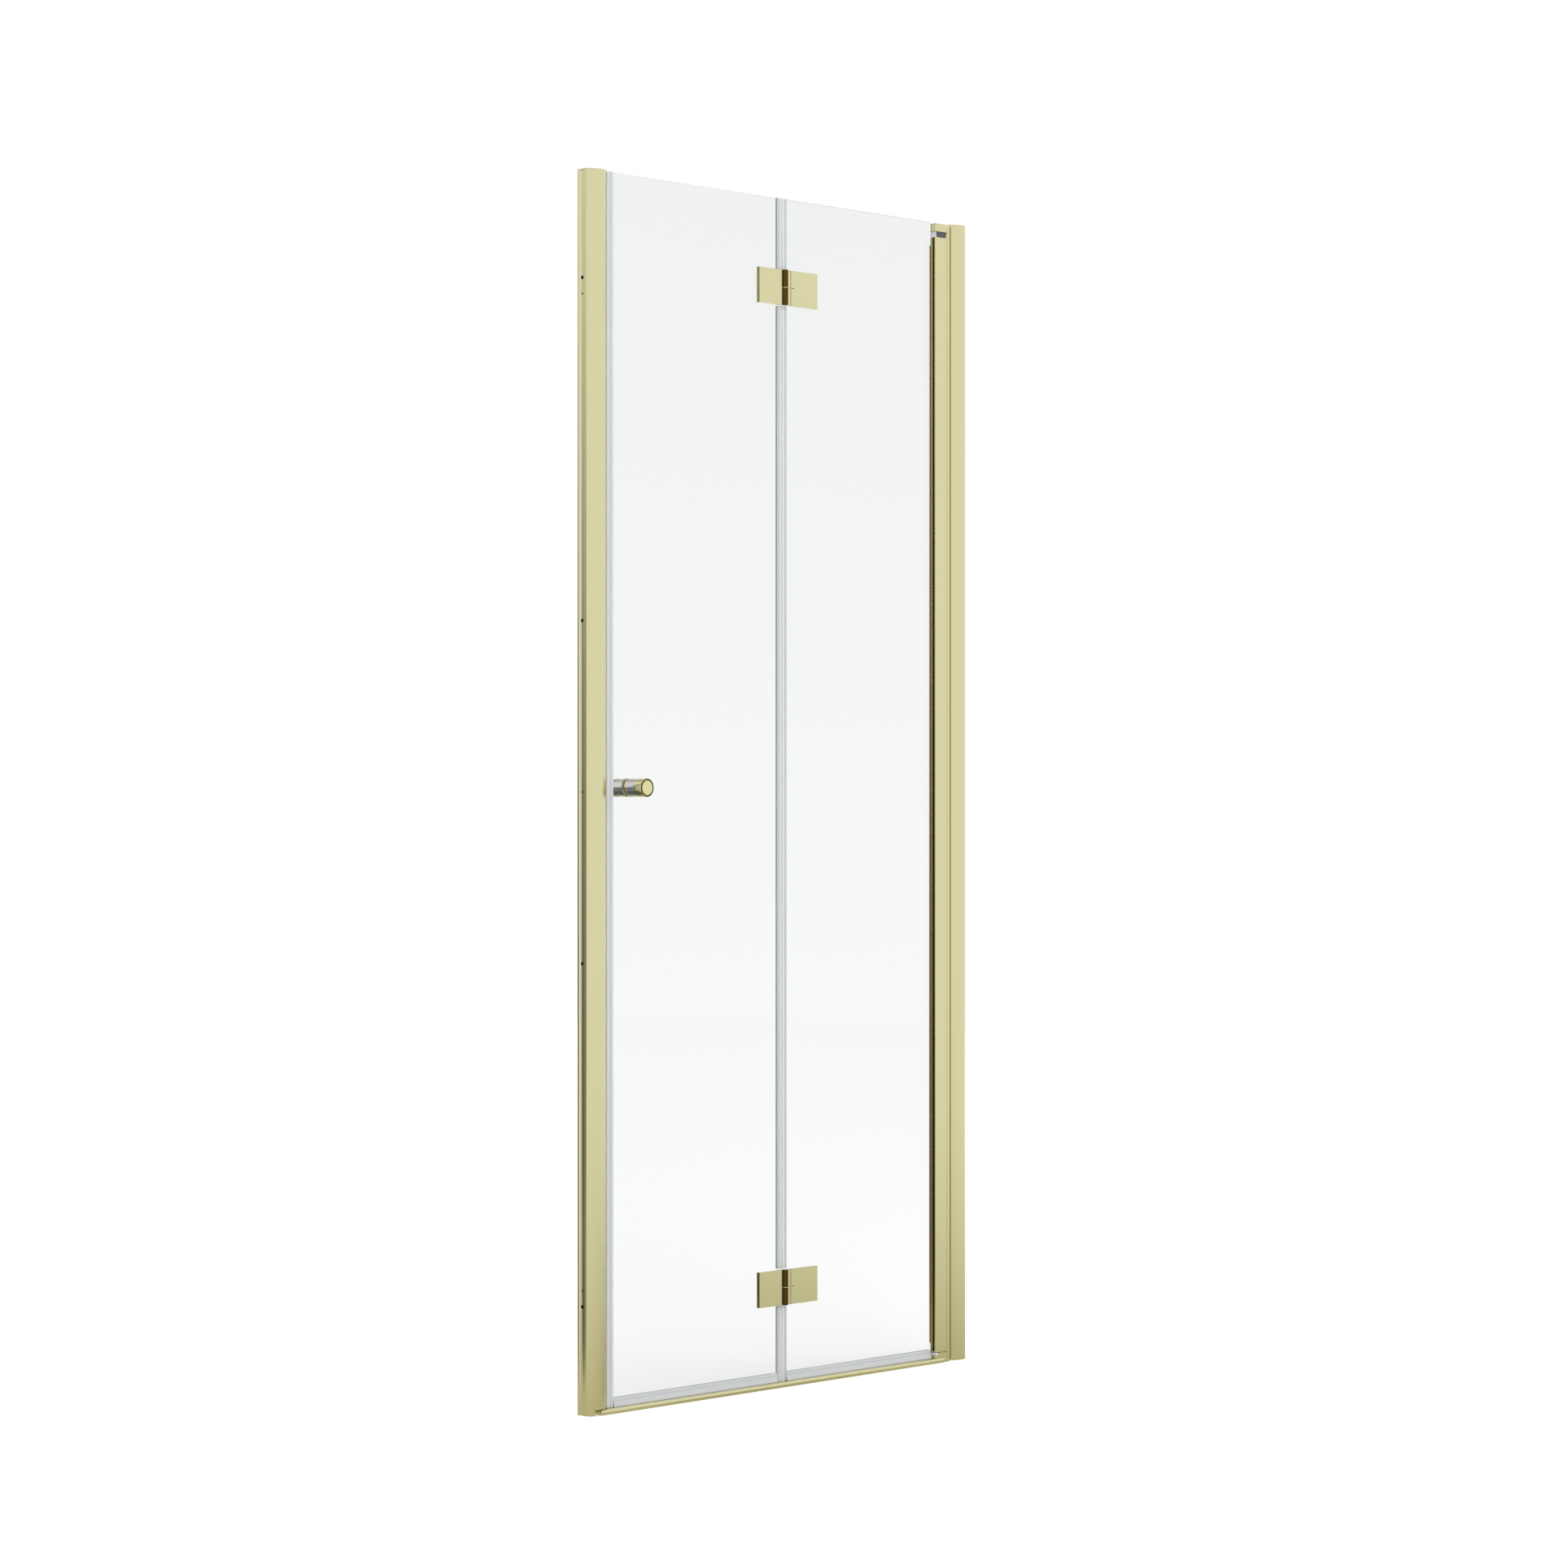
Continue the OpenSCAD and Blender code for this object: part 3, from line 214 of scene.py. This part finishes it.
def postPlatingAndPaintedShade():
    material, tree, shader, tone, coordinates = drawnMetal("anodisedGoldPost", goldExtrusion)
    place = addNode(tree, "ShaderNodeSeparateXYZ", [("Vector", coordinates.outputs["Object"])])
    pivotX, pivotY, _ = axes["door_pivot"]
    left = addNode(tree, "ShaderNodeMath", [(0, place.outputs["X"])],
                   {1: pivotX + postGrooveShade["floorX"]}, operation="LESS_THAN")
    between = addNode(tree, "ShaderNodeMath", [(0, place.outputs["Y"])],
                      {1: pivotY + postGrooveShade["middleY"], 2: postGrooveShade["half"]}, operation="COMPARE")
    inside = addNode(tree, "ShaderNodeMath", [(0, left.outputs[0]), (1, between.outputs[0])],
                     operation="MULTIPLY")
    # painted shade in the groove laid over the gold
    tintOver(tree, shader, tone, inside.outputs[0], postGrooveShade["colour"])
    return material


platedHinge = hingePlatingAndPaintedLight()
platedKnobEnd = knobPlatingAndPaintedShade()
anodisedPost = postPlatingAndPaintedShade()
print("metals made")

# toughened float glass: clear and fire-polished on its faces, with ground edges of a pale green; the
# faces lie along Y, so edgeFacing is how far a normal may lean to Y and still be an edge's
floatGlass = {"low": "#FBFCFC", "high": "#F0F2F1", "edge": "#F6FBF9", "edgeFacing": 0.5,
              "edgeRoughness": 0.05, "ior": 1.2}


def toughenedGlass():
    material, tree, shader, coordinates = startMaterial("toughenedFloatGlass")
    place = addNode(tree, "ShaderNodeSeparateXYZ", [("Vector", coordinates.outputs["Object"])])
    # painted reflection: the glass's tone is darker towards the top
    height = addNode(tree, "ShaderNodeMapRange", [("Value", place.outputs["Z"])],
                     {"From Max": cadBox[1][2]})
    tone = addNode(tree, "ShaderNodeMix", [("Factor", height.outputs["Result"])], data_type="RGBA")
    tone.inputs["A"].default_value = linear(floatGlass["low"])
    tone.inputs["B"].default_value = linear(floatGlass["high"])
    facing = addNode(tree, "ShaderNodeSeparateXYZ", [("Vector", coordinates.outputs["Normal"])])
    flatness = addNode(tree, "ShaderNodeMath", [(0, facing.outputs["Y"])], operation="ABSOLUTE")
    edge = addNode(tree, "ShaderNodeMath", [(0, flatness.outputs[0])], {1: floatGlass["edgeFacing"]},
                   operation="LESS_THAN")
    tintOver(tree, shader, tone, edge.outputs[0], floatGlass["edge"])
    rough = addNode(tree, "ShaderNodeMath", [(0, edge.outputs[0])], {1: floatGlass["edgeRoughness"]},
                    operation="MULTIPLY")
    tree.links.new(rough.outputs[0], shader.inputs["Roughness"])
    shader.inputs["Transmission Weight"].default_value = 1.0
    shader.inputs["IOR"].default_value = floatGlass["ior"]
    return material


# water-clear PVC, extruded: light soaks into it, and it looks milky where it is thick
clearPvc = {"colour": "#EDF1F3", "roughness": 0.35, "transmission": 0.2, "soak": 0.6, "cloud": 0.02}
# soft PVC dyed bronze, extruded, which wedges the glass in the post
bronzePvc = {"colour": "#857A4C", "roughness": 0.4, "transmission": 0.0, "soak": 0.0, "cloud": 0.03}
# white nylon, turned: waxy
whiteNylon = {"colour": "#E6E6EA", "roughness": 0.45, "transmission": 0.0, "soak": 0.0, "cloud": 0.04}
# grey acetal, moulded
greyAcetal = {"colour": "#525456", "roughness": 0.4, "transmission": 0.0, "soak": 0.0, "cloud": 0.05}
# ferrite powder in rubber, extruded: dull and uneven
ferriteStrip = {"colour": "#6B625C", "roughness": 0.6, "transmission": 0.0, "soak": 0.0, "cloud": 0.08}
plasticBody = {"mottle": 0.02, "detail": 2.0, "grainStrength": 0.05, "grainHeight": 0.0005,
               "soakDepth": 0.0015, "ior": 1.4}


# cloud is how much darker a slow mottle makes the colour
def plastic(name, values):
    material, tree, shader, coordinates = startMaterial(name)
    cloud = addNode(tree, "ShaderNodeTexNoise", [("Vector", coordinates.outputs["Object"])],
                    {"Scale": 1 / plasticBody["mottle"], "Detail": plasticBody["detail"]})
    base = np.array(linear(values["colour"]))
    tone = addNode(tree, "ShaderNodeMix", [("Factor", cloud.outputs["Fac"])], data_type="RGBA")
    tone.inputs["A"].default_value = (*(base[:3] * (1 - values["cloud"])).tolist(), 1)
    tone.inputs["B"].default_value = base.tolist()
    tree.links.new(tone.outputs["Result"], shader.inputs["Base Color"])
    grain = addNode(tree, "ShaderNodeBump", [("Height", cloud.outputs["Fac"])],
                    {"Strength": plasticBody["grainStrength"], "Distance": plasticBody["grainHeight"]})
    tree.links.new(grain.outputs["Normal"], shader.inputs["Normal"])
    shader.inputs["Roughness"].default_value = values["roughness"]
    shader.inputs["Transmission Weight"].default_value = values["transmission"]
    shader.inputs["Subsurface Weight"].default_value = values["soak"]
    shader.inputs["Subsurface Radius"].default_value = (1, 1, 1)
    shader.inputs["Subsurface Scale"].default_value = plasticBody["soakDepth"]
    shader.inputs["IOR"].default_value = plasticBody["ior"]
    return material, tree, shader, tone, coordinates


# the fold's seals: the legs that grip the panes are painted greyer, painted shade, and what lies between the panes
# is painted lighter, painted light against the shade there; clearTo and greyFrom are distances from the middle of
# the gap
foldSealPaintedLight = {"clearTo": 0.004, "greyFrom": 0.007, "between": "#FAFDFC", "legs": "#D6DBDB"}


def foldPvcAndPaintedLight():
    # the base tone is the painted lighter tone between the panes
    material, tree, shader, tone, coordinates = plastic(
        "clearPvcFold", {**clearPvc, "colour": foldSealPaintedLight["between"]})
    gapMiddle = (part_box("leading_glass")[1][0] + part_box("main_glass")[0][0]) / 2
    place = addNode(tree, "ShaderNodeSeparateXYZ", [("Vector", coordinates.outputs["Object"])])
    away = addNode(tree, "ShaderNodeMath", [(0, place.outputs["X"])], {1: gapMiddle},
                   operation="SUBTRACT")
    away = addNode(tree, "ShaderNodeMath", [(0, away.outputs[0])], operation="ABSOLUTE")
    legs = addNode(tree, "ShaderNodeMapRange", [("Value", away.outputs[0])],
                   {"From Min": foldSealPaintedLight["clearTo"], "From Max": foldSealPaintedLight["greyFrom"]})
    # painted shade on the legs
    tintOver(tree, shader, tone, legs.outputs["Result"], foldSealPaintedLight["legs"])
    return material


glassPane = toughenedGlass()
sealPvc = plastic("clearPvc", clearPvc)[0]
foldSealPvc = foldPvcAndPaintedLight()
glazingPvc = plastic("bronzePvc", bronzePvc)[0]
turnedNylon = plastic("turnedNylon", whiteNylon)[0]
mouldedAcetal = plastic("mouldedAcetal", greyAcetal)[0]
magnetCore = plastic("ferriteRubber", ferriteStrip)[0]
print("plastics and glass made")

materialOfSlot = {
    "gilt profile": anodisedExtrusion, "gilt cast": platedCast, "gilt threshold": anodisedThreshold,
    "gilt polished": platedBrass, "knob silver": satinKnobSteel, "stainless": screwMetal,
    "clear glass": glassPane, "clear pvc": sealPvc, "magnet strip": magnetCore,
    "white nylon": turnedNylon, "grey shoe": mouldedAcetal,
}
# nodes whose name begins so have a finish of their own
ownMaterial = {
    "hinge_leaf": platedHinge, "hinge_washers": platedBrass, "pivot_post": anodisedPost,
    "knob_end": platedKnobEnd, "glazing_gasket": glazingPvc,
    "leading_fold_seal": foldSealPvc, "main_fold_seal": foldSealPvc,
}
for part in frame["record"]["subparts"]:
    own = [material for start, material in ownMaterial.items() if part["node"].startswith(start)]
    mesh = nodes[part["node"]].data
    mesh.materials.clear()
    mesh.materials.append(own[0] if own else materialOfSlot[part["material_slot"]])
print("materials assigned")

# the two panes stand for the CAD's: the same outline and holes, a hair smaller all round so that each
# has its own faces beside what grips it, with its edges ground to a narrow arris
panes = {
    "gap": 0.0001, "arris": 0.0005, "arrisAngle": 60, "mergeWithin": 0.00001, "flatWithin": 0.001,
    "pieces": {"leading_glass": ("leadingPane", "leading_panel"), "main_glass": ("mainPane", "main_panel")},
}


# every point moves towards the pane's middle: middle + (point - middle) * (size - 2 gap) / size
def makePane(nodeName, piece, body):
    mesh = nodes[nodeName].data.copy()
    mesh.name = piece
    work = bmesh.new()
    work.from_mesh(mesh)
    bmesh.ops.remove_doubles(work, verts=work.verts, dist=panes["mergeWithin"])
    bmesh.ops.dissolve_limit(work, angle_limit=panes["flatWithin"], verts=work.verts, edges=work.edges)
    work.to_mesh(mesh)
    work.free()
    points = np.empty(len(mesh.vertices) * 3, np.float32)
    mesh.vertices.foreach_get("co", points)
    points = points.reshape(-1, 3)
    low, high = points.min(0), points.max(0)
    middle, size = (low + high) / 2, high - low
    points = middle + (points - middle) * (size - 2 * panes["gap"]) / size
    mesh.vertices.foreach_set("co", points.ravel())
    mesh.update()
    pane = bpy.data.objects.new(piece, mesh)
    bpy.context.collection.objects.link(pane)
    arris = pane.modifiers.new("arris", "BEVEL")
    arris.width, arris.segments = panes["arris"], 1
    arris.limit_method, arris.angle_limit = "ANGLE", math.radians(panes["arrisAngle"])
    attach(pane, body)
    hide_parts(nodeName)


for nodeName, (piece, body) in panes["pieces"].items():
    makePane(nodeName, piece, body)
print("panes made")

# the grub screw in the lower block's nose, placed from the block's lowest corner: a cup-pointed M3, its
# end a shallow dish with a rounded rim; the dish's radii are shares of the screw's
grubScrew = {
    "fromCorner": (0.0125, 0.0, 0.0035), "radius": 0.0014, "deep": 0.002, "proud": 0.0002,
    "rim": 0.00025, "rimSteps": 5, "dish": 0.0006, "dishTop": 0.62, "dishFloor": 0.56,
    "pole": 0.00002, "sides": 36,
}


# a profile of radii and heights turned about an axis along Y, its first and last rings closed by a face:
# point = centre + (radius cos t, -height, radius sin t)
def makeGrubScrew():
    screw = grubScrew
    centre = np.array(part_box("bottom_pivot_block")[0]) + screw["fromCorner"]
    bend = np.linspace(0, np.pi / 2, screw["rimSteps"])
    rimRadius = screw["radius"] - screw["rim"] + screw["rim"] * np.cos(bend)
    rimHeight = screw["proud"] - screw["rim"] + screw["rim"] * np.sin(bend)
    dishRadius = screw["radius"] * np.array([screw["dishTop"], screw["dishFloor"]])
    dishHeight = screw["proud"] - screw["dish"]
    radius = np.hstack([screw["pole"], screw["radius"], rimRadius, dishRadius, screw["pole"]])
    height = np.hstack([-screw["deep"], -screw["deep"], rimHeight, screw["proud"], dishHeight, dishHeight])
    rings, sides = len(radius), screw["sides"]
    t = np.linspace(0, 2 * np.pi, sides, endpoint=False)
    x = centre[0] + np.outer(radius, np.cos(t))
    y = centre[1] - np.outer(height, np.ones(sides))
    z = centre[2] + np.outer(radius, np.sin(t))
    ring, side = np.meshgrid(np.arange(rings - 1), np.arange(sides), indexing="ij")
    here, beside = ring * sides + side, ring * sides + (side + 1) % sides
    quads = np.stack([here, beside, beside + sides, here + sides], -1).reshape(-1, 4)
    ends = [tuple(range(sides))[::-1], tuple(range((rings - 1) * sides, rings * sides))]
    mesh = bpy.data.meshes.new("grubScrew")
    mesh.from_pydata(np.stack([x, y, z], -1).reshape(-1, 3).tolist(), [], quads.tolist() + ends)
    work = bmesh.new()
    work.from_mesh(mesh)
    bmesh.ops.recalc_face_normals(work, faces=work.faces)
    work.to_mesh(mesh)
    work.free()
    mesh.materials.append(screwMetal)
    piece = bpy.data.objects.new("grubScrew", mesh)
    bpy.context.collection.objects.link(piece)
    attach(piece, "frame")


makeGrubScrew()
print("grub screw made")

# the studio: a white room with a pale floor; what metal sees of it close to the door is painted darker and warm, a
# painted shade and bounce, as metal near it shows
studio = {
    "floor": "#E9E9E9", "floorRoughness": 0.9, "floorHalf": 8.0, "floorDrop": 0.0005,
    "roomLight": 0.8, "eyeGlow": 0.5, "glassGlow": 0.31,
    "nearFloor": (0.52, 0.50, 0.37), "farFloor": (1.0, 1.0, 0.97), "floorFade": (0.2, 5.0),
    "floorCurve": 0.55,
    # dark cards that metal sees, with a direction, an outer and an inner half width in degrees, and the
    # share of light left inside them; one without an elevation stands upright, and rise is the heights
    # between which it fades
    "cards": [
        {"azimuth": 116, "elevation": None, "width": (29, 10), "left": 0.15, "rise": (0.0, 0.17)},
        {"azimuth": 136, "elevation": None, "width": (24, 8), "left": 0.35, "rise": (0.0, 0.12)},
        {"azimuth": 75, "elevation": 52, "width": (26, 12), "left": 0.55},
    ],
    "floorCardReach": 3.5,
    # a dark board that lies on the floor behind the door: it shades the knob's underside
    "board": {"centre": (-0.75, 1.35), "radius": (0.65, 1.1), "left": 0.25},
}


# seen is 1 for rays that show the background as it is: from the camera, straight or through glass that
# no metal came before; mirrored is 1 for rays that reach it off metal, or off the face of the glass
def whiteForEye(tree):
    rays = addNode(tree, "ShaderNodeLightPath")
    straight = addNode(tree, "ShaderNodeMath", [(0, rays.outputs["Glossy Depth"])], {1: 0.5},
                       operation="LESS_THAN")
    through = addNode(tree, "ShaderNodeMath",
                      [(0, rays.outputs["Is Transmission Ray"]), (1, straight.outputs[0])],
                      operation="MULTIPLY")
    seen = addNode(tree, "ShaderNodeMath", [(0, rays.outputs["Is Camera Ray"]), (1, through.outputs[0])],
                   operation="MAXIMUM")
    mirrored = addNode(tree, "ShaderNodeMath",
                       [(0, rays.outputs["Is Glossy Ray"]), (1, through.outputs[0])],
                       operation="SUBTRACT", use_clamp=True)
    return rays, seen.outputs[0], mirrored.outputs[0]


# what a dark card leaves of the light: 1 outside its width, card["left"] inside it; direction is
# compared with the card's own, and way gives the height for an upright card's fade
def cardShade(tree, direction, way, card):
    turn, rise = math.radians(card["azimuth"]), math.radians(card["elevation"] or 0)
    aim = (math.cos(turn) * math.cos(rise), math.sin(turn) * math.cos(rise), math.sin(rise))
    facing = addNode(tree, "ShaderNodeVectorMath", [(0, direction)], {1: aim}, operation="DOT_PRODUCT")
    outer, inner = (math.cos(math.radians(width)) for width in card["width"])
    shade = addNode(tree, "ShaderNodeMapRange", [("Value", facing.outputs["Value"])],
                    {"From Min": outer, "From Max": inner, "To Min": 1.0, "To Max": card["left"]},
                    interpolation_type="SMOOTHSTEP")
    if "rise" in card:
        up = addNode(tree, "ShaderNodeSeparateXYZ", [("Vector", way)])
        lit = addNode(tree, "ShaderNodeMapRange", [("Value", up.outputs["Z"])],
                      {"From Min": card["rise"][0], "From Max": card["rise"][1], "To Min": card["left"]})
        tree.links.new(lit.outputs["Result"], shade.inputs["To Max"])
    return shade.outputs["Result"]


# the product of several shades
def allShades(tree, shades):
    product, *rest = shades
    for shade in rest:
        product = addNode(tree, "ShaderNodeMath", [(0, product), (1, shade)],
                          operation="MULTIPLY").outputs[0]
    return product


# what metal sees of the floor: painted shade and warm bounce near the door, white far off, darkened by the upright
# cards, fully from floorCardReach outwards, and by the board
def mirroredFloor(tree, place):
    distance = addNode(tree, "ShaderNodeVectorMath", [("Vector", place)], operation="LENGTH")
    fade = addNode(tree, "ShaderNodeMapRange", [("Value", distance.outputs["Value"])],
                   {"From Min": studio["floorFade"][0], "From Max": studio["floorFade"][1]})
    fade = addNode(tree, "ShaderNodeMath", [(0, fade.outputs["Result"])], {1: studio["floorCurve"]},
                   operation="POWER")
    look = addNode(tree, "ShaderNodeMix", [("Factor", fade.outputs[0])], data_type="RGBA")
    look.inputs["A"].default_value = (*studio["nearFloor"], 1)
    look.inputs["B"].default_value = (*studio["farFloor"], 1)
    outward = addNode(tree, "ShaderNodeVectorMath", [("Vector", place)],
                      operation="NORMALIZE").outputs["Vector"]
    upright = [card for card in studio["cards"] if card["elevation"] is None]
    cards = allShades(tree, [cardShade(tree, outward, outward, card) for card in upright])
    reach = addNode(tree, "ShaderNodeMapRange", [("Value", distance.outputs["Value"])],
                    {"From Max": studio["floorCardReach"]})
    cards = addNode(tree, "ShaderNodeMix", [("Factor", reach.outputs["Result"]), ("B", cards)])
    cards.inputs["A"].default_value = 1.0
    board = studio["board"]
    apart = addNode(tree, "ShaderNodeVectorMath", [(0, place)], {1: (*board["centre"], 0)},
                    operation="DISTANCE")
    dark = addNode(tree, "ShaderNodeMapRange", [("Value", apart.outputs["Value"])],
                   {"From Min": board["radius"][0], "From Max": board["radius"][1],
                    "To Min": board["left"]})
    strength = allShades(tree, [cards.outputs["Result"], dark.outputs["Result"]])
    return addNode(tree, "ShaderNodeEmission", [("Color", look.outputs["Result"]), ("Strength", strength)])


def makeFloor():
    half, z = studio["floorHalf"], -studio["floorDrop"]
    mesh = bpy.data.meshes.new("floor")
    corners = [(-half, -half, z), (half, -half, z), (half, half, z), (-half, half, z)]
    mesh.from_pydata(corners, [], [(0, 1, 2, 3)])
    floor = bpy.data.objects.new("floor", mesh)
    bpy.context.collection.objects.link(floor)
    material, tree, shader, coordinates = startMaterial("paleFloor")
    shader.inputs["Base Color"].default_value = linear(studio["floor"])
    shader.inputs["Roughness"].default_value = studio["floorRoughness"]
    shader.inputs["Emission Color"].default_value = (1, 1, 1, 1)
    rays, seen, mirror = whiteForEye(tree)
    glow = addNode(tree, "ShaderNodeMix", [("Factor", rays.outputs["Is Transmission Ray"])])
    glow.inputs["A"].default_value = studio["eyeGlow"]
    glow.inputs["B"].default_value = studio["glassGlow"]
    glow = addNode(tree, "ShaderNodeMath", [(0, seen), (1, glow.outputs["Result"])], operation="MULTIPLY")
    tree.links.new(glow.outputs[0], shader.inputs["Emission Strength"])
    mirrored = mirroredFloor(tree, coordinates.outputs["Object"])
    both = addNode(tree, "ShaderNodeMixShader",
                   [(0, mirror), (1, shader.outputs["BSDF"]), (2, mirrored.outputs["Emission"])])
    tree.links.new(both.outputs["Shader"], tree.nodes["Material Output"].inputs["Surface"])
    mesh.materials.append(material)


# white all round; for glossy rays the cards take light away, for the rest it is plain room light
def makeWorld():
    world = bpy.data.worlds.new("studioWorld")
    bpy.context.scene.world = world
    world.use_nodes = True
    tree = world.node_tree
    rays, seen, mirror = whiteForEye(tree)
    way = addNode(tree, "ShaderNodeTexCoord").outputs["Generated"]
    level = addNode(tree, "ShaderNodeVectorMath", [("Vector", way)], {1: (1, 1, 0)}, operation="MULTIPLY")
    level = addNode(tree, "ShaderNodeVectorMath", [("Vector", level.outputs["Vector"])],
                    operation="NORMALIZE").outputs["Vector"]
    shown = allShades(tree, [cardShade(tree, way if card["elevation"] else level, way, card)
                             for card in studio["cards"]])
    light = addNode(tree, "ShaderNodeMix", [("Factor", mirror), ("B", shown)])
    light.inputs["A"].default_value = studio["roomLight"]
    light = addNode(tree, "ShaderNodeMix", [("Factor", seen), ("A", light.outputs["Result"])])
    light.inputs["B"].default_value = 1.0
    background = tree.nodes["Background"]
    background.inputs["Color"].default_value = (1, 1, 1, 1)
    tree.links.new(light.outputs["Result"], background.inputs["Strength"])


lampAim = (0, 0, 1)
lamps = {"keyLamp": {"place": (-3.0, -4.0, 3.5), "size": 2.5, "power": 60},
         "fillLamp": {"place": (3.5, -3.0, 2.5), "size": 2.5, "power": 25}}


def softLamp(name, values):
    light = bpy.data.lights.new(name, "AREA")
    light.shape, light.size, light.energy = "SQUARE", values["size"], values["power"]
    lamp = bpy.data.objects.new(name, light)
    lamp.location = values["place"]
    lamp.rotation_euler = (Vector(lampAim) - lamp.location).to_track_quat("-Z", "Y").to_euler()
    lamp.visible_glossy = lamp.visible_transmission = False      # no lamp shows as a patch in the glass
    bpy.context.collection.objects.link(lamp)


# level camera, 6.7 m off and to the left, at mid height; the shift is in pixels of the photograph
lens = {"place": (-4.92912, -4.57941, 0.9719), "turn": 47.1, "focal": 93.964,
        "frame": 1932, "shift": (2, 12.5)}


def makeCamera():
    camera = bpy.data.objects.new("camera", bpy.data.cameras.new("camera"))
    camera.location = lens["place"]
    camera.rotation_euler = (math.radians(90), 0, math.radians(-lens["turn"]))
    camera.data.lens = lens["focal"]
    camera.data.shift_x, camera.data.shift_y = (pixels / lens["frame"] for pixels in lens["shift"])
    bpy.context.collection.objects.link(camera)
    bpy.context.scene.camera = camera


makeFloor()
makeWorld()
for name, values in lamps.items():
    softLamp(name, values)
makeCamera()
bpy.context.scene.view_settings.view_transform = "Standard"
print("studio made")
